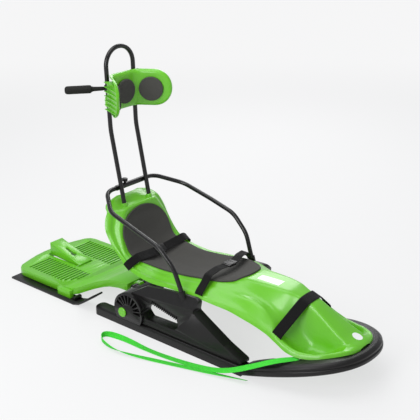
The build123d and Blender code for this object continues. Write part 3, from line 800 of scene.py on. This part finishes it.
def make_tow_strap():
    line = strap_line()
    turns = eased(np.interp(np.linspace(0, 1, len(line)), np.linspace(0, 1, len(STRAP_ROUTE)),
                            [row[3] for row in STRAP_ROUTE]), 10)
    way = np.gradient(line, axis=0)
    way /= np.linalg.norm(way, axis=1, keepdims=True)
    flat = np.cross(way, (0, 0, 1))
    flat /= np.linalg.norm(flat, axis=1, keepdims=True)
    upright = np.cross(flat, way)
    turns = np.radians(turns)[:, None]
    sideways = flat * np.cos(turns) + upright * np.sin(turns)
    strap = webbing("tow_webbing", line, sideways, STRAP_WIDTH * MM, STRAP_THICK * MM,
                    "green webbing", ("tow_strap",), 11)


# Headrest and grips

WING_TIP, HEAD_FRONT, HEAD_HALF = (160, 247), 380, 70
HEAD_LOW, HEAD_HIGH = 894, 1060
HEAD_REACH, HEAD_ROUND, HEAD_EASE, HEAD_CURL, HEAD_WALL = 229, 84, 40, 16, 4
HEAD_ROWS, HEAD_COLUMNS = 91, 41
WING_BEND = atan2(HEAD_FRONT - WING_TIP[1], WING_TIP[0] - HEAD_HALF)
# Ribs behind each wing: how far from the middle they begin, what they leave free at the tip,
# their depth there, how much deeper they are where they begin, and how far behind the face.
# The wall between them stands at a share of their depth.
RIBS, RIB_PITCH, RIB_WALL, RIB_COLUMNS = 7, 20, 2.4, 12
RIB_FIRST, RIB_FREE, RIB_SHALLOW, RIB_DEEPER, RIB_START = 88, 10, 9, 34, 3
WING_WALL, WING_WALL_AT = 2, 0.65
CLAMP_AT, CLAMP_RADIUS, CLAMP_HIGH, WEB = (81, 401, 940), 15, 40, (0.016, 0.024, 0.04)
HEAD_PAD_RADIUS, HEAD_PAD_THICK = 54.5, 12


def headrest_plan(s):
    """(x, y) and outward normal of the headrest's face at a distance from its middle, in mm."""
    side = 1 if s >= 0 else -1
    s = abs(s)
    start = HEAD_HALF - HEAD_EASE / 2
    if s < start:
        return (side * s, HEAD_FRONT), (0, -1)
    steps = 24
    x, y = start, HEAD_FRONT
    reach = s - start
    for i in range(steps):
        part = (i + 0.5) / steps * reach
        angle = WING_BEND * min(1, part / HEAD_EASE)
        x += cos(angle) * reach / steps
        y -= sin(angle) * reach / steps
    angle = WING_BEND * min(1, reach / HEAD_EASE)
    return (side * x, y), (side * -sin(angle), -cos(angle))


def behind(s, depth):
    """The (x, y) at a depth behind the headrest's face."""
    (x, y), (nx, ny) = headrest_plan(s)
    return x - nx * depth, y - ny * depth


def headrest_face(mid, high):
    rows = []
    for turn in np.linspace(-pi / 2, pi / 2, HEAD_ROWS):
        s = HEAD_REACH * sin(turn)
        past = max(0, abs(s) - (HEAD_REACH - HEAD_ROUND)) / HEAD_ROUND
        half = high * max(0.0008, 1 - past ** 2.2) ** 0.5
        row = []
        for v in np.linspace(-1, 1, HEAD_COLUMNS):
            v = sin(v * pi / 2)
            edge = min((1 - abs(v)) * half, HEAD_REACH - abs(s), HEAD_CURL)
            curl = HEAD_CURL - (HEAD_CURL ** 2 - (HEAD_CURL - edge) ** 2) ** 0.5
            row.append((*behind(s, curl), mid + v * half))
        rows.append(row)
    face = grid("headrest_face", np.array(rows) * MM)
    tidy(face, 0.0002)
    centre = Vector((0, HEAD_FRONT, mid)) * MM
    middle = min(face.data.polygons, key=lambda polygon: (polygon.center - centre).length)
    if middle.normal.y > 0:
        edit(face, (bpy.ops.mesh.flip_normals, {}))
    modify(face, "SOLIDIFY", thickness=HEAD_WALL * MM, offset=-1)
    bake(face)
    tidy(face)
    return face


def wing_ribs(side, mid, high):
    """The ribs behind one wing and the wall between them."""
    made, back = [], []
    for i in range(RIBS):
        z = mid + (i - RIBS // 2) * RIB_PITCH
        reach = HEAD_REACH - RIB_FREE - HEAD_ROUND * (1 - (1 - (abs(z - mid) / high) ** 2) ** 0.5)
        row, wall_row = [], []
        for s in np.linspace(RIB_FIRST, reach, RIB_COLUMNS):
            left = (HEAD_REACH - RIB_FREE - s) / (HEAD_REACH - RIB_FREE - RIB_FIRST)
            depth = RIB_SHALLOW + RIB_DEEPER * left
            row.append([(*behind(side * s, d), z) for d in (RIB_START, depth / 2, depth)])
            wall_depth = RIB_START + WING_WALL_AT * (depth - RIB_START)
            wall_row.append((*behind(side * s, wall_depth), z))
        made.append(grid("rib", np.array(row) * MM))
        sheet_solid(made[-1], RIB_WALL * MM)
        back.append(wall_row)
    made.append(grid("wall", np.array(back) * MM))
    sheet_solid(made[-1], WING_WALL * MM)
    return made


def make_headrest():
    mid, high = (HEAD_LOW + HEAD_HIGH) / 2, (HEAD_HIGH - HEAD_LOW) / 2
    made = [headrest_face(mid, high), *wing_ribs(-1, mid, high), *wing_ribs(1, mid, high)]
    x, y, z = CLAMP_AT
    for side in (-1, 1):
        leg = Vector((side * x, y, z)) * MM
        foot = leg - Vector((0, 0, CLAMP_HIGH / 2 * MM))
        made.append(disc("clamp", CLAMP_RADIUS * MM, CLAMP_HIGH * MM, foot, (0, 0, 1), 2 * MM))
        made.append(bar("web", WEB, leg - Vector((0, 0.018, 0)), 0.002))
    finish_piece(joined("moulded_headrest", made), "green plastic", replaced=("headrest_shell",))


def make_headrest_pads():
    for word, side in (("centre", 0), ("left", 1), ("right", -1)):
        node = f"headrest_pad_{word}"
        low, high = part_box(node)
        turn = side * WING_BEND
        way = Vector((-sin(turn), -cos(turn), 0))
        foot = (low + high) / 2 - way * HEAD_PAD_THICK / 2 * MM
        pad = disc(f"foam_pad_{word}", HEAD_PAD_RADIUS * MM, HEAD_PAD_THICK * MM, foot, way,
                   4 * MM, 4, 96)
        finish_piece(pad, "dark foam", replaced=(node,), smooth=50)


# The left handle's line, and the grip's radius at each distance from its inner end. A sleeve
# covers the rod up to the grip.
HANDLE_START, HANDLE_TIP, GRIP_FROM_TIP = (81.5, 402.5, 1000), (223, 515, 1000), 109
ROD_RADIUS, ROD_SLEEVE, ROD_FREE = 6.6, 9.5, 16
GRIP_PROFILE = [(9, -1), (16, 0), (18, 3), (18, 20), (17.6, 60), (18, 95), (17.6, 106),
                (14, 112.5), (7, 115), (0.01, 115)]


def make_grips():
    start, tip = Vector(HANDLE_START), Vector(HANDLE_TIP)
    way = (tip - start).normalized()
    run = (tip - start).length - GRIP_FROM_TIP
    u = Vector((0, 0, 1))
    w = way.cross(u)
    rows = []
    for r, d in [(ROD_RADIUS, ROD_FREE - run), (ROD_SLEEVE, ROD_FREE - run), *GRIP_PROFILE]:
        at = start + way * (run + d)
        rows.append([tuple(at + (u * cos(a) + w * sin(a)) * r)
                     for a in np.linspace(0, 2 * pi, 49)])
    for side, word in ((-1, "right"), (1, "left")):
        points = np.array(rows) * MM
        points[:, :, 0] *= side
        grip = grid(f"foam_grip_{word}", points)
        modify(grip, "SUBSURF", levels=1, render_levels=1)
        bake(grip)
        tidy(grip)
        finish_piece(grip, "black foam", replaced=(f"grip_{word}",), slot="dark_foam", smooth=60)


# Labels, all blank

DECK_LABEL = [(-40, -398), (-2, -398), (6, -508), (-40, -508)]
NOSE_LABEL_AT, NOSE_LABEL_RADIUS = (14, -860), 21
LABEL_THICK, DECK_LABEL_RAISED, NOSE_LABEL_RAISED = 0.3, 0.2, 0.3


def laid(name, places, raised):
    """A sheet laid on the shell from above, over rows of (x, y) in mm."""
    tree = BVHTree.FromObject(bpy.data.objects["moulded_shell"],
                              bpy.context.evaluated_depsgraph_get())
    rows = []
    for row in places:
        hits = [tree.ray_cast(Vector((x * MM, y * MM, 0.6)), DOWN) for x, y in row]
        rows.append([tuple(hit + normal * raised * MM) for hit, normal, _, _ in hits])
    return grid(name, np.array(rows))


def make_labels():
    a, b, c, d = (np.array(corner, float) for corner in DECK_LABEL)
    share = np.linspace(0, 1, 13)
    label = laid("deck_label", [[(a * (1 - u) + b * u) * (1 - v) + (d * (1 - u) + c * u) * v
                                 for u in share] for v in share], DECK_LABEL_RAISED)
    modify(label, "SOLIDIFY", thickness=LABEL_THICK * MM, offset=1)
    bake(label)
    finish_piece(label, "blank label")
    x, y = NOSE_LABEL_AT
    label = laid("nose_label", [[(x + r * cos(turn), y + r * sin(turn))
                                 for turn in np.linspace(0, 2 * pi, 49)]
                                for r in np.linspace(0.01, NOSE_LABEL_RADIUS, 8)],
                 NOSE_LABEL_RAISED)
    tidy(label)
    finish_piece(label, "blank label")


# Pieces that keep the CAD's shape, and ribs for the grilles. A star stands for left and right.

CAD_FINISHES = {
    "black tube": ("hoop", "handle_*", "rail_*", "rail_sleeve"),
    "bright steel": ("hinge_pin", "pedal_pin"),
}
DRESSED = [
    ("strut_*", "black plastic", 0.002), ("runner_*", "black plastic", 0),
    ("strut_cap_*", "green plastic", 0.0006), ("sleeve_knob", "black plastic", 0.001),
    ("crossmember", "black plastic", 0.002), ("platform", "green plastic", 0.0015),
    ("ski_*", "black plastic", 0.0015), ("ski_block_*", "black plastic", 0.001),
    ("brake_pedal", "green plastic", 0.0015),
]

GRILLE_FRONT, GRILLE_PITCH, GRILLE_SLOTS, GRILLE_INNER, GRILLE_OUTER = 592, 20, 15, 68, 206
GRILLE_FIRST, GRILLE_SPREAD, GRILLE_PAST = 84, 1.1, 4
GRILLE_RIB_WIDE, GRILLE_RIB_DEEP, GRILLE_RIB_TOP = 8, 14, 42


def make_cad_looks():
    for finish, names in CAD_FINISHES.items():
        for name in names:
            for node in both_sides(name):
                for slot in nodes[node].material_slots:
                    slot.material = finishes[finish]
    for name, finish, bevel in DRESSED:
        for node in both_sides(name):
            dressed(node, finish, bevel)


def make_grille_ribs():
    """Deep ribs under the bars of both grilles."""
    made = []
    for i in range(GRILLE_SLOTS + 1):
        y = GRILLE_FRONT + GRILLE_PITCH * (i - 0.5)
        outer = GRILLE_PAST + min(
            GRILLE_OUTER, GRILLE_INNER + GRILLE_FIRST + GRILLE_SPREAD * (y - GRILLE_FRONT))
        for side in (-1, 1):
            size = ((outer - GRILLE_INNER) * MM, GRILLE_RIB_WIDE * MM, GRILLE_RIB_DEEP * MM)
            middle = (side * (outer + GRILLE_INNER) / 2 * MM, y * MM,
                      (GRILLE_RIB_TOP - GRILLE_RIB_DEEP / 2) * MM)
            made.append(bar("rib", size, middle, 0.0005))
    finish_piece(joined("grille_ribs", made), "green plastic", body="trailer")


# Stage, lights and camera

CAMERA_AT, CAMERA_TO, CAMERA_LENS = (-2.962, -2.595, 2.079), (0.4538, 0.2708, 0.300), 83.5
# Name, place, aim, size and watts
LAMPS = [
    ("top_softbox", (-0.6, 0.4, 3.4), (0, -0.1, 0.2), (2.6, 2.6), 52),
    ("side_softbox", (-3.4, -0.6, 2.0), (0, 0, 0.3), (1.4, 2.0), 62),
    ("far_softbox", (2.6, 1.6, 2.4), (0, 0, 0.3), (1.6, 2.4), 45),
]
WORLD_COLOUR, WORLD_STRENGTH = (0.95, 0.97, 1.0, 1), 0.55
FLOOR_SIZE, FLOOR_COLOURS = 60, ((0.76, 0.76, 0.76, 1), (0.78, 0.78, 0.78, 1))
# The floor glows for the camera and in reflections, more so far away from the sled
GLOW_COLOUR, GLOW_NEAR, GLOW_FAR = (0.93, 0.93, 0.935, 1), 0.72, 0.98
GLOW_WAY, GLOW_EDGE, GLOW_WIDTH = (0.76, 0.64), 3.6, 3.2


def make_camera():
    data = bpy.data.cameras.new("camera")
    data.lens, data.sensor_width = CAMERA_LENS, 36
    camera = bpy.data.objects.new("camera", data)
    bpy.context.scene.collection.objects.link(camera)
    camera.location = CAMERA_AT
    way = Vector(CAMERA_TO) - Vector(CAMERA_AT)
    camera.rotation_euler = way.to_track_quat("-Z", "Y").to_euler()
    bpy.context.scene.camera = camera


def softbox(name, at, to, size, energy):
    data = bpy.data.lights.new(name, "AREA")
    data.shape, data.size, data.size_y, data.energy = "RECTANGLE", size[0], size[1], energy
    lamp = bpy.data.objects.new(name, data)
    bpy.context.scene.collection.objects.link(lamp)
    lamp.location = at
    lamp.rotation_euler = (Vector(to) - Vector(at)).to_track_quat("-Z", "Y").to_euler()


def make_floor():
    bpy.ops.object.select_all(action="DESELECT")
    bpy.ops.mesh.primitive_plane_add(size=FLOOR_SIZE, location=(0, 0, 0))
    floor = add("studio_floor")
    finish = Finish("studio floor", roughness=0.9, specular_ior_level=0.1)
    finish.feed(base_color=finish.blend_colours(finish.noise(0.4, 2), *FLOOR_COLOURS))
    path = finish.tree.nodes.new("ShaderNodeLightPath")
    camera_ray = Wire(finish, path.outputs["Is Camera Ray"])
    glossy_ray = Wire(finish, path.outputs["Is Glossy Ray"])
    x, y = finish.axes()
    away = x * GLOW_WAY[0] + y * GLOW_WAY[1]
    share = away.over(GLOW_EDGE, GLOW_WIDTH) * (GLOW_FAR - GLOW_NEAR) + GLOW_NEAR
    glow = finish.tree.nodes.new("ShaderNodeEmission")
    glow.inputs["Color"].default_value = GLOW_COLOUR
    mix = finish.tree.nodes.new("ShaderNodeMixShader")
    output = finish.tree.nodes["Material Output"]
    for source, target in ((((camera_ray + glossy_ray) * share).socket, mix.inputs[0]),
                           (finish.shader.outputs[0], mix.inputs[1]),
                           (glow.outputs[0], mix.inputs[2]),
                           (mix.outputs[0], output.inputs["Surface"])):
        finish.tree.links.new(source, target)
    floor.data.materials.append(finish.material)


def make_stage():
    make_floor()
    scene = bpy.context.scene
    scene.world = scene.world or bpy.data.worlds.new("studio")
    scene.world.use_nodes = True
    background = scene.world.node_tree.nodes["Background"]
    background.inputs["Color"].default_value = WORLD_COLOUR
    background.inputs["Strength"].default_value = WORLD_STRENGTH
    for lamp in LAMPS:
        softbox(*lamp)
    scene.view_settings.view_transform = "Standard"


# Add-on

def colour_setting(name, description, *screen):
    return bpy.props.FloatVectorProperty(
        name=name, description=description, subtype="COLOR", size=3, min=0, max=1,
        default=linear(*screen))


class SledSettings(bpy.types.PropertyGroup):
    """Colours of the sled"""
    green: colour_setting("Green", "Colour of the shell, headrest and platform", 100, 186, 26)
    black: colour_setting("Black", "Colour of the struts, runners and skis", 17, 16, 16)
    foam: colour_setting("Foam", "Colour of the pads", 70, 69, 66)
    strap: colour_setting("Tow strap", "Colour of the tow strap", 70, 215, 60)


class SceneStep:
    """Runs its steps, for the operators below."""
    bl_options = {"REGISTER"}
    steps = ()

    def execute(self, context):
        for step in self.steps:
            step()
        return {"FINISHED"}


def shaded(colour, share):
    return tuple(share * value for value in colour)


def make_finishes():
    settings = bpy.context.scene.sled
    make_green_plastic(tuple(settings.green))
    make_black_plastic(tuple(settings.black))
    make_black_tube(shaded(settings.black, 0.6))
    make_foam("dark foam", tuple(settings.foam))
    make_foam("black foam", shaded(settings.foam, 0.22))
    make_webbing("black webbing", shaded(settings.black, 0.7))
    make_webbing("green webbing", tuple(settings.strap))
    make_bright_steel()
    make_label()


def operator(name, label, text, *steps):
    """An operator class that runs the steps."""
    return type(f"SLED_OT_{name}", (SceneStep, bpy.types.Operator), {
        "bl_idname": f"sled.{name}", "bl_label": label, "__doc__": text, "steps": steps})


OPERATORS = [
    operator("camera", "Camera", "Adds the camera", make_camera),
    operator("finishes", "Finishes", "Makes the materials", make_finishes),
    operator("tow_strap", "Tow strap", "Lays the tow strap", make_tow_strap),
    operator("shell", "Seat shell", "Moulds the seat shell", make_shell, make_hoop_sockets),
    operator("pad", "Seat pad", "Cuts the foam pad", make_pad),
    operator("bumper", "Bumper", "Sweeps the nose bumper", make_bumper),
    operator("belts", "Belts", "Makes the belts and buckles", make_belts, make_foot_strap),
    operator("headrest", "Headrest", "Makes the headrest", make_headrest, make_headrest_pads),
    operator("grips", "Grips", "Makes the handle grips", make_grips),
    operator("frame_parts", "Frame parts", "Finishes the rigid parts", make_cad_looks,
             make_grille_ribs),
    operator("labels", "Labels", "Lays the blank labels", make_labels),
    operator("stage", "Stage", "Adds the floor and lamps", make_stage),
]


class SLED_PT_panel(bpy.types.Panel):
    """The steps that dress the sled"""
    bl_label = "Sled"
    bl_idname = "SLED_PT_panel"
    bl_space_type = "VIEW_3D"
    bl_region_type = "UI"
    bl_category = "Sled"

    def draw(self, context):
        for name in ("green", "black", "foam", "strap"):
            self.layout.prop(context.scene.sled, name)
        for step in OPERATORS:
            self.layout.operator(step.bl_idname)


CLASSES = [SledSettings, *OPERATORS, SLED_PT_panel]


def register():
    for cls in CLASSES:
        bpy.utils.register_class(cls)
    bpy.types.Scene.sled = bpy.props.PointerProperty(type=SledSettings)


def unregister():
    del bpy.types.Scene.sled
    for cls in reversed(CLASSES):
        bpy.utils.unregister_class(cls)


def main():
    register()
    for step in OPERATORS:
        getattr(bpy.ops.sled, step.bl_idname.split(".")[1])()


if __name__ == "__main__":
    main()
